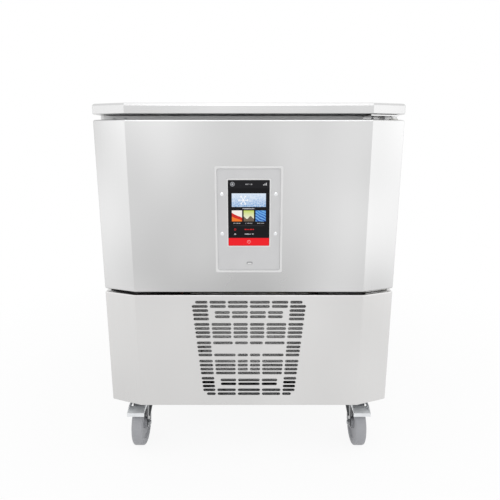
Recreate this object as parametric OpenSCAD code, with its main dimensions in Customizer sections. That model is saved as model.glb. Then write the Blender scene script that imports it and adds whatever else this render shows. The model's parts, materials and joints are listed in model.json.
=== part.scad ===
// Undercounter blast chiller on casters: an insulated chamber with a full-width hinged
// door, above a technical compartment whose slotted service panel feeds the condenser.
// X runs across, Y from the front to the back and Z up. The origin lies on the floor
// under the centre of the bounding box, and the front faces -Y. Inside the modules
// Y is counted from the door's face, and placed() moves each piece to the origin.

/* [Body] */
// Width of the cabinet
body_w = 780; // [740:5:940]
// Depth from the door's face to the back
body_d = 796; // [760:4:960]
// Width of the angled front corners, measured across the front
corner_w = 88; // [60:1:106]
// Depth of the angled front corners
corner_d = 34; // [20:1:38]
// Height of the service panel
panel_h = 323.5; // [310:0.5:400]
// Depth of the service panel's top flange
panel_flange = 12; // [8:1:20]
// Gap between the service panel and the door
gap_low = 7.5; // [7:0.5:16]
// Gap between the door and the worktop
gap_top = 13; // [12:1:22]
// Thickness of the outer sheet metal
skin_t = 1; // [0.8:0.1:1.5]
// Inner radius where the sheet metal is bent
bend_r = 3; // [2:0.5:6]
// Width of the side panels' front return
side_return = 8; // [6:1:10]
// Width of the returns along the bottom edge
base_return = 13.5; // [10:0.5:18]
// Depth by which the rear cover is set back
rear_recess = 22; // [18:1:30]

/* [Worktop] */
// Thickness of the worktop
top_h = 26; // [22:1:40]
// Radius of the worktop's upper edge
top_r = 8; // [4:0.5:10]

/* [Door] */
// Height of the door
door_h = 441; // [430:1:560]
// Thickness of the door without its gasket
door_t = 92; // [88:1:112]
// Thickness of the gasket
gasket_t = 9.7; // [8:0.1:12]
// Radius of the door's upper and lower edges
door_r = 5; // [2:0.5:8]
// Depth of the finger grips in the door's sides
grip_d = 18; // [12:1:20]
// Width of the finger grips, measured front to back
grip_w = 25; // [20:1:30]
// Distance of the finger grips from the door's back
grip_back = 7; // [5:1:10]
// Distance of the hinge pin from the cabinet's side
pin_side = 26; // [24:1:32]
// Distance of the hinge pin from the door's face
pin_front = 44; // [40:1:48]
// Radius of the hinge pins
pin_r = 5; // [4:0.5:6]

/* [Control panel] */
// Width of the control bezel
bezel_w = 171.5; // [150:0.5:220]
// Height of the control bezel
bezel_h = 272.5; // [240:0.5:320]
// Height by which the bezel stands proud of the door
bezel_proud = 4; // [3:0.5:8]
// Distance from the door's lower edge to the bezel
bezel_up = 56; // [40:1:100]
// Width of the touch screen
screen_w = 104; // [90:1:120]
// Height of the touch screen
screen_h = 167; // [150:1:190]
// Distance from the bezel's upper edge to the screen
screen_down = 34; // [25:1:45]

/* [Grille] */
// Height of one slot
slot_h = 8; // [5:0.1:8]
// Distance between rows of slots
slot_pitch = 11.8; // [10:0.1:13]
// Width of the ribs between slots in a row
rib_w = 5; // [4:0.1:7]
// Half the grille's width at its widest row
grille_half = 152; // [130:1:170]
// Height of the grille's top row above the panel's bottom edge
grille_top = 304; // [290:1:304]

/* [Chamber] */
// Width of the chamber
chamber_w = 660; // [620:5:700]
// Height of the chamber
chamber_h = 346; // [340:2:400]
// Thickness of the insulation at the back and floor
foam_t = 60; // [50:1:70]
// Radius of the chamber's long corners
cove_r = 20; // [10:1:30]
// Number of tray levels
levels = 5; // [3:1:5]
// Distance between tray levels
level_pitch = 65; // [55:1:66]
// Free width between the runner tips
runner_gap = 510; // [480:2:520]
// Depth of the evaporator space behind the trays
evap_zone = 194; // [190:2:220]
// Radius of the chamber's drain
drain_r = 14; // [10:0.5:18]

/* [Refrigeration] */
// Radius of the evaporator fan
evap_fan_r = 112; // [90:1:120]
// Radius of the condenser fan
cond_fan_r = 118; // [90:1:122]
// Number of blades on each fan
fan_blades = 5; // [3:1:7]
// Radius of the compressor's shell
compressor_r = 92; // [80:1:100]

/* [Casters] */
// Overall height of a caster
caster_h = 157; // [150:1:170]
// Diameter of the wheels
wheel_d = 127; // [110:1:127]
// Width of the wheels
wheel_w = 32; // [28:1:36]
// Trail of the wheel behind its swivel axis
trail = 38; // [34:1:42]
// Distance of the casters' centres from the cabinet's sides
caster_side = 71; // [65:1:90]
// Distance of the swivel axes from the front and the back
caster_end = 100; // [95:1:110]

/* [Hidden] */
$fn = 64;

steel = [0.80, 0.80, 0.79];
bright_steel = [0.88, 0.88, 0.87];
zinc = [0.70, 0.72, 0.74];
copper = [0.72, 0.45, 0.30];
grey_rubber = [0.60, 0.60, 0.62];
black = [0.10, 0.10, 0.11];

e = 0.01;           // a cut's overrun
gap = 0.3;          // clearance between pieces that move past each other
running = 0.05;     // radial clearance of a shaft in its bore

hw = body_w / 2;
front_y = -(body_d - bezel_proud) / 2;
body_y = door_t + gasket_t + gap;              // front face of the frame and side panels

panel_z = caster_h;
panel_top = panel_z + panel_h;
door_z = panel_top + gap_low;
door_top = door_z + door_h;
top_z = door_top + gap_top;

corner_a = atan(corner_d / corner_w);
front_shift = tan(corner_a / 2);               // how an inset moves the front corners
side_shift = (1 - sin(corner_a)) / cos(corner_a);

frame_t = 1.2;
panel_t = 1.2;
foam_z = panel_top - 5.5;                       // underside of the insulated box
floor_z = foam_z + foam_t;                     // chamber floor
ceiling_z = floor_z + chamber_h;
mid_z = (floor_z + ceiling_z) / 2;
foam_y = body_y + frame_t;
screw_head = 1.8;
case_d = body_d - screw_head;                  // rear face of the side panels
back_y = case_d - 2 * skin_t;                  // inner face of the back panel
chamber_back = back_y - foam_t;                // inner face of the liner's back
rear_y = case_d - rear_recess;                 // inner face of the rear cover

tray_t = 2;
tray_lip = 25;
deck_z = panel_z + tray_t;                     // floor of the technical compartment

rear_return = 15;
screw_r = 2;
screw_side = 8;                                // screws of the back panel, from the side
screw_heights = [foam_z + 40, (foam_z + top_z) / 2, top_z - 40];

pin_x = hw - pin_side;
bracket_t = 3;
bush_r = pin_r + 3;
bush_l = 26;
bush_flange_r = 11;
hinge_screw_x = [hw - 65, hw - 35];
// each row of hinge screws: height, radius of the shanks, radius of the heads
top_screws = [top_z - 7.8, 2, 3.4];
low_screws = [foam_z + 3, 1.6, 2.4];

bezel_z = door_z + bezel_up;
bezel_top = bezel_z + bezel_h;
screen_top = bezel_top - screen_down;
screen_z = screen_top - screen_h;
bezel_screw_x = bezel_w / 2 - 17.75;
bezel_screw_z = [screen_top - 35, screen_z + 31];
bezel_screw_r = 1.6;
bezel_seat = 1;                                // depth of the screws' seats in the bezel
bezel_boss_r = 5.2;
module_margin = 12;
module_d = 30;

drain_y = body_y + 250;
drain_wall = 2.5;
spigot_r = drain_r + 1;
spigot_l = 25;                                 // free length of the drain's spigot

seam = 0.2;                                    // joint between two foam boards
runner_r = 4;
upright_t = 3;
upright_w = 20;
upright_x = chamber_w / 2 - 12;
first_level = 28;
tray_zone = chamber_back - body_y - evap_zone;
rack_y = [body_y + 48, body_y + tray_zone - 18];

deflector_y = body_y + tray_zone + 22;
deflector_t = 1.5;
fan_tip_gap = 4;
fan_depth = 26;
hub_r = 24;
shaft_r = 4;
motor_r = 36;
motor_l = 48;
evap_fan_y = deflector_y + deflector_t + 2;
evap_motor_y = evap_fan_y + fan_depth + 8;
evap_coil_y = evap_motor_y + motor_l + 8;
evap_coil_d = chamber_back - evap_coil_y - 8;
evap_coil_w = chamber_w - 130;
evap_coil_h = chamber_h - 70;
coil_tubes = 8;

cond_w = 340;
cond_h = panel_h - 47.5;
cond_d = 56;
cond_y = body_y + 8;
cond_z = deck_z + 14 + cond_h / 2;
shroud_y = cond_y + cond_d;
shroud_d = 30;
cond_fan_y = shroud_y + shroud_d + 2;
cond_motor_y = cond_fan_y + fan_depth + 8;

compressor_x = -(hw - 175);
compressor_y = rear_y - 190;
compressor_h = 232;
receiver_x = hw - 190;
receiver_y = rear_y - 110;
receiver_r = 42;
receiver_h = 190;
receiver_foot = 14;
drier_x = hw - 110;
drier_y = rear_y - 70;
drier_z = deck_z + 130;
drier_r = 14;
drier_l = 110;
riser_x = evap_coil_w / 2 + 36;                // where the refrigerant lines enter the chamber
riser_y = [chamber_back - 46, chamber_back - 22];
line_r = 5;

gland_x = hw - 60;
gland_z = panel_z + 70;
gland_r = 9;
probe_y = body_y + 60;
probe_z = ceiling_z - 36;
probe_r = 4;

wheel_r = wheel_d / 2;
caster_x = hw - caster_side;
casters = [
    [-caster_x, caster_end], [caster_x, caster_end],
    [-caster_x, body_d - caster_end], [caster_x, body_d - caster_end]];
plate_t = 3;
plate_w = 92;
plate_d = 72;
bolt_x = 36.5;
bolt_y = 26;
bolt_r = 4;
fork_t = 2.5;
fork_half = wheel_w / 2 + 2.5;                 // half the inner width of a fork
crown_z = caster_h - 14;                       // underside of a fork's crown
crown_t = 3;
crown_r = 33;
kingpin_r = 6;
race_r = 29;
axle_r = 6;
pedal_t = 2.5;
pedal_half = fork_half + fork_t + gap + pedal_t;
pedal_y = -24;                                 // brake pivot, from the swivel axis
pedal_z = crown_z - 6;
pedal_r = 3;

// ---------------------------------------------------------------- shared geometry

module placed() { translate([0, front_y, 0]) children(); }

function unit(v) = v / norm(v);

// The rounded corner at p, between its neighbours a and b
function corner_arc(p, a, b, r, n) =
    let (u = unit(a - p), v = unit(b - p), half = acos(u * v) / 2,
         c = p + unit(u + v) * r / sin(half),
         s = p + u * r / tan(half) - c, t = p + v * r / tan(half) - c,
         a0 = atan2(s[1], s[0]), turn = atan2(t[1], t[0]) - a0,
         sweep = turn > 180 ? turn - 360 : turn < -180 ? turn + 360 : turn)
    [for (i = [0:n]) c + r * [cos(a0 + sweep * i / n), sin(a0 + sweep * i / n)]];

// An outline with each corner rounded by its own radius, and sharp where that is 0
function rounded(pts, radii, n = 4) =
    [for (i = [0:len(pts) - 1]) each radii[i] <= 0 ? [pts[i]] :
        corner_arc(pts[i], pts[(i + len(pts) - 1) % len(pts)], pts[(i + 1) % len(pts)],
                   radii[i], n)];

// The cabinet's plan with its angled front corners, drawn in by t and closed at back
function plan(t, back) = [
    [-(hw - t), back], [-(hw - t), corner_d + t * side_shift],
    [-(hw - corner_w - t * front_shift), t], [hw - corner_w - t * front_shift, t],
    [hw - t, corner_d + t * side_shift], [hw - t, back]];

function bent_plan(t, back) =
    let (r = max(bend_r + skin_t - t, 0.5)) rounded(plan(t, back), [0, r, r, r, r, 0], 3);

// Heights and insets of a block whose lower and upper edges have radii r0 and r1
function eased_layers(z0, z1, r0, r1, n = 5) = concat(
    r0 > 0 ? [for (i = [0:n]) [z0 + r0 * (1 - cos(90 * i / n)), r0 * (1 - sin(90 * i / n))]]
           : [[z0, 0]],
    r1 > 0 ? [for (i = [0:n]) [z1 - r1 * (1 - sin(90 * i / n)), r1 * (1 - cos(90 * i / n))]]
           : [[z1, 0]]);

// A closed solid through rings with the same number of points
module loft(rings) {
    n = len(rings[0]);
    m = len(rings);
    polyhedron(
        points = [for (ring = rings) each ring],
        faces = concat(
            [[for (i = [0:n - 1]) i]],
            [for (j = [0:m - 2], i = [0:n - 1])
                [j * n + i, (j + 1) * n + i, (j + 1) * n + (i + 1) % n, j * n + (i + 1) % n]],
            [[for (i = [n - 1:-1:0]) (m - 1) * n + i]]));
}

// A block with the cabinet's plan, drawn in by t, with rounded lower and upper edges
module eased_block(t, z0, z1, back, r0, r1) {
    loft([for (layer = eased_layers(z0, z1, r0, r1))
        [for (p = bent_plan(t + layer[1], back)) [p[0], p[1], layer[0]]]]);
}

module rounded_rect(w, h, r, n = 6) {
    x = w / 2;
    y = h / 2;
    polygon(rounded([[-x, -y], [x, -y], [x, y], [-x, y]], [r, r, r, r], n));
}

// Extrudes an outline drawn in X and Z from y to y + depth
module upright(y, depth) {
    translate([0, y + depth, 0]) rotate([90, 0, 0]) linear_extrude(depth) children();
}

// Extrudes an outline drawn in Y and Z from x to x + width
module sideways(x, width) {
    translate([x, 0, 0]) rotate([90, 0, 90]) linear_extrude(width) children();
}

// A cylinder along +Y or +X
module along_y(x, y, z, r, l) { translate([x, y, z]) rotate([-90, 0, 0]) cylinder(h = l, r = r); }
module along_x(x, y, z, r, l) { translate([x, y, z]) rotate([0, 90, 0]) cylinder(h = l, r = r); }

module box(lo, hi) { translate(lo) cube(hi - lo); }

// A round bar from a to b
module rod(a, b, r) {
    d = b - a;
    translate(a) rotate([0, acos(d[2] / norm(d)), atan2(d[1], d[0])])
        cylinder(h = norm(d), r = r);
}

// A pipe through the given points, with ball joints at its elbows
module pipe(pts, r) {
    for (i = [0:len(pts) - 2]) rod(pts[i], pts[i + 1], r);
    for (i = [1:1:len(pts) - 2]) translate(pts[i]) sphere(r = r);
}

// ---------------------------------------------------------------- cabinet

module worktop() {
    core = 22;
    color(bright_steel) placed() difference() {
        eased_block(0, top_z, top_z + top_h, body_d, 2.5, top_r);
        eased_block(skin_t, top_z + skin_t, top_z + top_h - skin_t, body_d - skin_t,
                    1.5, top_r - skin_t);
        translate([0, 0, top_z - 1]) linear_extrude(top_h / 2)
            polygon(plan(core, body_d - core));
    }
}

module worktop_core() {
    inset = top_r + skin_t;
    color("burlywood") placed() translate([0, 0, top_z + skin_t])
        linear_extrude(top_h - 2 * skin_t)
            polygon(plan(inset, body_d - inset));
}

// A side panel is a sheet with a front return, a rear return and a bottom return
module side_panel() {
    placed() {
        difference() {
            translate([0, 0, panel_z]) linear_extrude(top_z - panel_z) polygon([
                [hw - side_return, body_y], [hw, body_y], [hw, case_d],
                [hw - rear_return, case_d], [hw - rear_return, case_d - skin_t],
                [hw - skin_t, case_d - skin_t], [hw - skin_t, body_y + skin_t],
                [hw - side_return, body_y + skin_t]]);
            for (z = screw_heights) along_y(hw - screw_side, back_y, z, screw_r, 3 * skin_t);
        }
        box([hw - base_return, body_y, panel_z], [hw, rear_y, panel_z + skin_t]);
    }
}

module side_panel_left() { color(steel) mirror([1, 0, 0]) side_panel(); }
module side_panel_right() { color(steel) side_panel(); }

module back_panel() {
    color(zinc) placed() difference() {
        box([-(hw - skin_t), back_y, foam_z], [hw - skin_t, back_y + skin_t, top_z]);
        for (x = [-1, 1] * (hw - screw_side), z = screw_heights)
            along_y(x, back_y - skin_t, z, screw_r, 3 * skin_t);
    }
}

// The rear cover closes the technical compartment and lets the warm air out
module rear_cover() {
    louvre_w = 210;
    louvre_h = 11;
    louvre_out = 9;
    louvre_gap = 40;
    louvres_x = -40;                           // middle of the two stacks, clear of the cable gland
    stacks = [for (s = [-1, 1]) louvres_x + s * (louvre_w + louvre_gap) / 2 - louvre_w / 2];
    rows = 8;
    pitch = 24;
    z0 = panel_z + 80;
    half = hw - skin_t;
    color(zinc) placed() {
        difference() {
            box([-half, rear_y, panel_z], [half, rear_y + skin_t, foam_z - gap]);
            for (x = stacks, i = [0:rows - 1])
                box([x, rear_y - 1, z0 + i * pitch],
                    [x + louvre_w, rear_y + 3, z0 + i * pitch + louvre_h]);
            along_y(gland_x, rear_y - 1, gland_z, gland_r, 4);
        }
        // hoods over the slots, open downwards
        for (x = stacks, i = [0:rows - 1])
            translate([x, rear_y, z0 + i * pitch]) {
                sideways(-1, louvre_w + 2) polygon([
                    [skin_t, louvre_h + 2], [skin_t, louvre_h],
                    [louvre_out - 1, 1], [louvre_out, 1]]);
                for (s = [-1, louvre_w]) sideways(s, 1)
                    polygon([[skin_t, louvre_h + 2], [skin_t, 1], [louvre_out, 1]]);
            }
        box([-half, rear_y + skin_t, foam_z - gap - skin_t], [half, back_y + skin_t, foam_z - gap]);
    }
}

module chamber_outline(t) {
    translate([0, mid_z]) rounded_rect(chamber_w + 2 * t, chamber_h + 2 * t, cove_r + t);
}

module insulation() {
    x = chamber_w / 2 + skin_t;
    outer = hw - skin_t;
    back = chamber_back + skin_t;
    low = floor_z - skin_t;
    high = ceiling_z + skin_t;
    strip = 0.8 * cove_r;
    inset = (strip + seam) / 2;
    color("khaki") placed() difference() {
        union() {
            box([-outer, foam_y, foam_z], [outer, back_y, low]);
            box([-outer, foam_y, high], [outer, back_y, top_z]);
            box([-outer, back, low + seam], [outer, back_y, high - seam]);
            for (s = [0, 1]) mirror([s, 0, 0])
                box([x, foam_y, low + seam], [outer, back - seam, high - seam]);
            // a strip behind each rounded corner of the liner
            upright(foam_y, back - seam - foam_y) difference() {
                for (s = [-1, 1], t = [-1, 1])
                    translate([s * (x - inset), mid_z + t * (high - mid_z - inset)])
                        square(strip - seam, center = true);
                chamber_outline(skin_t);
            }
        }
        translate([0, drain_y, foam_z - 1]) cylinder(h = foam_t + 1, r = drain_r + drain_wall);
        for (y = riser_y) translate([riser_x, y, foam_z - 1])
            cylinder(h = foam_t + 1, r = line_r + gap);
        along_x(chamber_w / 2, probe_y, probe_z, probe_r + 4, 30);
    }
}

module chamber_liner() {
    color(bright_steel) placed() difference() {
        upright(foam_y, chamber_back + skin_t - foam_y) chamber_outline(skin_t);
        upright(foam_y - 1, chamber_back - foam_y + 1) chamber_outline(0);
        translate([0, drain_y, floor_z - 2]) cylinder(h = 4, r = drain_r + drain_wall);
        for (y = riser_y) translate([riser_x, y, floor_z - 2]) cylinder(h = 4, r = line_r + gap);
        along_x(chamber_w / 2 - 2, probe_y, probe_z, probe_r + 4, 5);
    }
}

// Face of the cabinet behind the door: the gasket seals on it
module front_frame() {
    w = 2 * (hw - side_return);
    h = top_z - foam_z;
    color(steel) placed() difference() {
        upright(body_y, frame_t) difference() {
            translate([0, foam_z + h / 2]) square([w, h], center = true);
            chamber_outline(0);
        }
        for (x = hinge_screw_x, row = [top_screws, low_screws], s = [-1, 1])
            along_y(s * x, body_y - 1, row[0], row[1], 4);
    }
}

// Tray that carries the casters below and the refrigeration above
module base_frame() {
    color(zinc) placed() difference() {
        translate([0, 0, panel_z]) linear_extrude(tray_t + tray_lip)
            polygon(plan(base_return, rear_y));
        translate([0, 0, deck_z]) linear_extrude(tray_lip + 1)
            polygon(plan(base_return + tray_t, rear_y - tray_t));
        for (c = casters, x = [-bolt_x, bolt_x], y = [-bolt_y, bolt_y])
            translate([c[0] + x, c[1] + y, panel_z - 1]) cylinder(h = 4, r = bolt_r + running);
        translate([0, drain_y, panel_z - 1]) cylinder(h = 4, r = drain_r + drain_wall + gap);
    }
}

// ---------------------------------------------------------------- slotted service panel

// Groups of slot rows: height of the top row under the grille's top, rows, half the
// distance between the bars beside the centre, centre bar (1 or 0), and the kind of row:
// 2 across the full width, 1 beside a plain centre, 0 short rows set in from the sides
slot_groups = [
    [0, 2, 58.5, 1, 2],
    [2, 3, 0, 0, 1], [2.46, 2, 48, 1, 0],
    [5.32, 4, 44.5, 1, 2],
    [9.84, 1, 40.5, 1, 2],
    [10.84, 2, 0, 0, 1],
    [12.84, 1, 33.5, 1, 2],
    [14.4, 3, 33.5, 1, 2],
    [17.4, 1, 33.5, 0, 2],
    [18.75, 3, 0, 0, 1], [19.18, 2, 32.5, 0, 0],
    [21.73, 2, 33.5, 0, 2]];

side_slope = 0.102;                            // how the grille narrows towards the floor
bar_slope = 0.066;
side_slot = 45.5;                              // length of the widest outer slot
last_row = 22.73;

// Half-widths of the grille's side and of the bar beside it, at a height
function side_at(z, row) =
    grille_half - side_slope * (grille_top - slot_pitch - z)
        - (row == 0 ? 10.5 : row >= last_row - e ? 9 : 0);
function bar_at(z) = grille_half - side_slot - bar_slope * (grille_top - slot_pitch - z);

// One slot with half-round ends, from x0 to x1 at height z
module slot(x0, x1, z, n = 5) {
    r = slot_h / 2;
    polygon(concat(
        [for (i = [0:n]) [x1 - r + r * sin(180 * i / n), z - r * cos(180 * i / n)]],
        [for (i = [0:n]) [x0 + r - r * sin(180 * i / n), z + r * cos(180 * i / n)]]));
}

// The slots of one row, between the edges and bars that its group asks for
module slot_row(row, group) {
    z = grille_top - row * slot_pitch;
    side = side_at(z, row);
    bar = bar_at(z);
    half = rib_w / 2;
    inner_edge = bar - side_slot / 4 - half;
    edge = group[4] == 2 ? bar - half : inner_edge;
    for (s = [0, 1]) mirror([s, 0, 0]) {
        if (group[4] > 0) slot(bar + half, side, z);
        if (group[4] != 1) {
            slot(group[2] + half, edge, z);
            if (group[3] == 1) slot(half, group[2] - half, z);
        }
    }
    if (group[4] != 1 && group[3] == 0) slot(-(group[2] - half), group[2] - half, z);
}

module grille_slots() {
    for (group = slot_groups, i = [0:group[1] - 1]) slot_row(group[0] + i, group);
}

module service_panel() {
    back = body_y - gap;
    color(steel) placed() difference() {
        eased_block(0, panel_z, panel_top, back, 1.5, 3.5);
        eased_block(panel_t, panel_z + panel_t, panel_top - panel_t, back + 1, 0, 2.3);
        translate([0, 0, panel_top - 5]) linear_extrude(10)
            polygon(plan(panel_flange, back + 1));
        translate([0, 0, panel_z - 5]) linear_extrude(10)
            polygon(plan(base_return, back + 1));
        translate([0, 0, panel_z]) upright(-1, panel_t + 2) grille_slots();
    }
}

// ---------------------------------------------------------------- hinges

// The top bracket is screwed to the frame, hugs the worktop and follows the angled corner
module hinge_bracket_top() {
    x0 = hw - 90;
    x1 = hw - side_return - 1;
    inset = 13;
    z1 = top_z - 1;
    pin_l = z1 - bracket_t - door_top + bush_l - 2;
    color(bright_steel) placed() difference() {
        union() {
            translate([0, 0, z1 - bracket_t]) linear_extrude(bracket_t) intersection() {
                polygon(plan(inset, body_y));
                translate([x0, 0]) square([x1 - x0, body_y]);
            }
            box([x0, body_y - bracket_t, door_top + 1.5], [x1, body_y, z1]);
            translate([pin_x, pin_front, z1 - bracket_t - pin_l])
                cylinder(h = pin_l + e, r = pin_r);
            translate([pin_x, pin_front, z1 - bracket_t - 2]) cylinder(h = 2 + e, r = pin_r + 4);
        }
        for (x = hinge_screw_x)
            along_y(x, body_y - bracket_t - 1, top_screws[0], top_screws[1], bracket_t + 2);
    }
}

// The bottom bracket carries the door on its pin
module hinge_bracket_bottom() {
    x0 = hw - 76;
    x1 = hw - side_return - 1;
    inset = 16;
    z0 = panel_top + 1;
    pin_l = door_z - z0 - bracket_t + bush_l - 2;
    color(bright_steel) placed() difference() {
        union() {
            translate([0, 0, z0]) linear_extrude(bracket_t) intersection() {
                polygon(plan(inset, body_y));
                translate([x0, 0]) square([x1 - x0, body_y]);
            }
            box([x0, body_y - bracket_t, foam_z], [hw - panel_flange - 1, body_y, z0 + bracket_t]);
            translate([pin_x, pin_front, z0 + bracket_t - e]) cylinder(h = pin_l + e, r = pin_r);
        }
        for (x = hinge_screw_x)
            along_y(x, body_y - bracket_t - 1, low_screws[0], low_screws[1], bracket_t + 2);
    }
}

// Hinge screws on the right, and blanking screws in the unused holes on the left
module hinge_screws() {
    head_t = 2;
    color(zinc) placed() for (x = hinge_screw_x, row = [top_screws, low_screws], s = [-1, 1]) {
        face = body_y - (s > 0 ? bracket_t : 0);
        along_y(s * x, face, row[0], row[1], body_y + frame_t - face);
        along_y(s * x, face - head_t, row[0], row[2], head_t);
    }
}

// A flanged bush in the door's edge at the pin, on the bracket's side: way is 1 up, -1 down
module hinge_bush(z, way, seat) {
    translate([pin_x, pin_front, z]) mirror([0, 0, way < 0 ? 1 : 0]) difference() {
        union() {
            translate([0, 0, -bush_l]) cylinder(h = bush_l, r = bush_r);
            cylinder(h = seat, r = bush_flange_r);
        }
        translate([0, 0, -bush_l - 1]) cylinder(h = bush_l + seat + 2, r = pin_r + running);
    }
}

module hinge_bushes() {
    top_seat = 3;
    low_seat = gap_low - 1 - bracket_t - gap;
    color("whitesmoke") placed() {
        hinge_bush(door_top, 1, top_seat);
        hinge_bush(door_z, -1, low_seat);
    }
}

// ---------------------------------------------------------------- door

module grips(t) {
    y1 = door_t - grip_back;
    for (s = [0, 1]) mirror([s, 0, 0])
        box([hw - grip_d - t, y1 - grip_w - t, door_z - 1], [hw + 1, y1 + t, door_top + 1]);
}

// What the door's skin encloses, filled by the foam
module door_core(back) {
    difference() {
        eased_block(skin_t, door_z + skin_t, door_top - skin_t, back,
                    door_r - skin_t, door_r - skin_t);
        grips(skin_t);
    }
}

door_return = 14;
liner_x = hw - door_return;
liner_z0 = door_z + door_return;
liner_z1 = door_top - door_return;

module door_skin() {
    color(steel) placed() difference() {
        eased_block(0, door_z, door_top, door_t, door_r, door_r);
        door_core(door_t - skin_t);
        grips(0);
        box([-liner_x, door_t - 5, liner_z0], [liner_x, door_t + 1, liner_z1]);
        box([-screen_w / 2 - 4, -1, screen_z - 4], [screen_w / 2 + 4, 5, screen_top + 4]);
        for (z = [door_z, door_top]) translate([pin_x, pin_front, z - 8]) cylinder(h = 16, r = bush_r);
    }
}

// The inner pan has a raised field that stands in the chamber's mouth
module door_liner() {
    rise = 6;
    margin = 14;
    slope = 4;
    function ring(t, y) = let (x = chamber_w / 2 - margin - t,
        a = floor_z + margin + t, b = ceiling_z - margin - t)
        [[-x, y, a], [-x, y, b], [x, y, b], [x, y, a]];
    color(bright_steel) placed() {
        difference() {
            union() {
                box([-liner_x, door_t - skin_t, liner_z0], [liner_x, door_t, liner_z1]);
                loft([ring(0, door_t - e), ring(slope, door_t + rise)]);
            }
            loft([ring(skin_t - slope / 3, door_t - 2), ring(slope + skin_t, door_t + rise - skin_t)]);
        }
    }
}

module door_foam() {
    module_x = screen_w / 2 + module_margin;
    grip_y = door_t - grip_back - grip_w - skin_t;
    color("khaki") placed() difference() {
        door_core(door_t - skin_t);
        box([-module_x, 0, screen_z - module_margin],
            [module_x, skin_t + module_d, screen_top + module_margin]);
        for (z = [door_z, door_top - bush_l]) translate([pin_x, pin_front, z])
            cylinder(h = bush_l, r = bush_r);
        // the board between the grips is glued to one in front and one behind
        for (y = [grip_y - seam, grip_y + grip_w + 2 * skin_t])
            box([-hw, y, door_z], [hw, y + seam, door_top]);
    }
}

// Magnetic gasket: a base, a narrow bellows and the magnet's head
module door_gasket() {
    inner = 8;
    function grown(t) = [chamber_w + 2 * t, chamber_h + 2 * t, cove_r + t];
    module ring(y, depth, t0, t1) {
        upright(y, depth) translate([0, mid_z]) difference() {
            rounded_rect(grown(t1)[0], grown(t1)[1], grown(t1)[2]);
            rounded_rect(grown(t0)[0], grown(t0)[1], grown(t0)[2]);
        }
    }
    color([0.22, 0.22, 0.23]) placed() {
        ring(door_t, 3, inner, inner + 16);
        ring(door_t + 3 - e, gasket_t - 6 + 2 * e, inner + 4, inner + 12);
        ring(door_t + gasket_t - 3, 3, inner + 1, inner + 15);
    }
}

// ---------------------------------------------------------------- control panel

// A raised rim, a groove, four facets that rise to the screen, and a frame around the screen
module control_bezel() {
    rim_w = 3.5;
    groove_w = 0.8;
    base_t = 1.2;                              // what is left under the groove
    facet_y = [-1.9, -3.3];                    // the facets' outer and inner edges
    frame_y = -3.7;                            // face of the screen's frame
    frame_w = 2.4;
    cover = [11, 3.4];                         // cover of the connector below the screen
    cover_y = -2.2;
    well = [15, 7.2];
    cover_at = [2, screen_z - 46.5];
    outer = rim_w + groove_w;
    facet_x = bezel_w / 2 - outer;
    inner_x = screen_w / 2 + frame_w;
    function at(x, z0, z1, y) = [[-x, y, z0], [-x, y, z1], [x, y, z1], [x, y, z0]];
    color([0.84, 0.84, 0.84]) placed() {
        difference() {
            union() {
                difference() {
                    upright(-bezel_proud, bezel_proud) translate([0, (bezel_z + bezel_top) / 2])
                        rounded_rect(bezel_w, bezel_h, 5);
                    upright(-bezel_proud - 1, bezel_proud - base_t + 1)
                        translate([0, (bezel_z + bezel_top) / 2])
                        rounded_rect(bezel_w - 2 * rim_w, bezel_h - 2 * rim_w, 2.5);
                }
                loft([at(inner_x, screen_z - frame_w, screen_top + frame_w, facet_y[1]),
                      at(facet_x, bezel_z + outer, bezel_top - outer, facet_y[0]),
                      at(facet_x, bezel_z + outer, bezel_top - outer, -base_t / 2)]);
                upright(frame_y, -frame_y) translate([0, screen_z + screen_h / 2])
                    rounded_rect(screen_w + 2 * frame_w, screen_h + 2 * frame_w, 2);
                for (x = [-bezel_screw_x, bezel_screw_x], z = bezel_screw_z)
                    along_y(x, -bezel_proud + bezel_seat, z, bezel_boss_r, bezel_proud - bezel_seat);
            }
            box([-screen_w / 2 - gap, -bezel_proud - 1, screen_z - gap],
                [screen_w / 2 + gap, 1, screen_top + gap]);
            for (x = [-bezel_screw_x, bezel_screw_x], z = bezel_screw_z)
                along_y(x, -bezel_proud - 1, z, bezel_screw_r, bezel_proud + 2);
            upright(-bezel_proud - 1, bezel_proud) translate(cover_at)
                rounded_rect(well[0], well[1], 3);
        }
        upright(cover_y, -cover_y) translate(cover_at - [0, 1])
            rounded_rect(cover[0], cover[1], 1.5);
    }
}

module touch_screen() {
    color(black) placed()
        upright(-bezel_proud + 0.8, bezel_proud - 0.8 + skin_t) translate([0, screen_z + screen_h / 2])
            rounded_rect(screen_w, screen_h, 2);
}

// Electronics housing behind the screen, let into the door's foam
module display_module() {
    x = screen_w / 2 + module_margin;
    vent_pitch = 9;
    color([0.25, 0.26, 0.27]) placed() difference() {
        upright(skin_t, module_d - gap) translate([0, screen_z + screen_h / 2])
            rounded_rect(2 * (x - gap), screen_h + 2 * (module_margin - gap), 4);
        for (i = [-6:6]) box([-x / 2, skin_t + module_d - 5, screen_z + screen_h / 2 + i * vent_pitch],
            [x / 2, skin_t + module_d, screen_z + screen_h / 2 + i * vent_pitch + 3]);
    }
}

module bezel_screws() {
    head_r = 4.3;
    dome = bezel_seat;                         // height of the domed heads
    dome_r = (head_r * head_r + dome * dome) / (2 * dome);
    face = -bezel_proud + bezel_seat;
    color(zinc) placed() for (x = [-bezel_screw_x, bezel_screw_x], z = bezel_screw_z) {
        along_y(x, face, z, bezel_screw_r, -face);
        translate([x, face, z]) rotate([90, 0, 0]) rotate_extrude() intersection() {
            translate([0, dome - dome_r]) circle(r = dome_r);
            square([head_r + 1, dome + 1]);
        }
    }
}

// ---------------------------------------------------------------- chamber fittings

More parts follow.
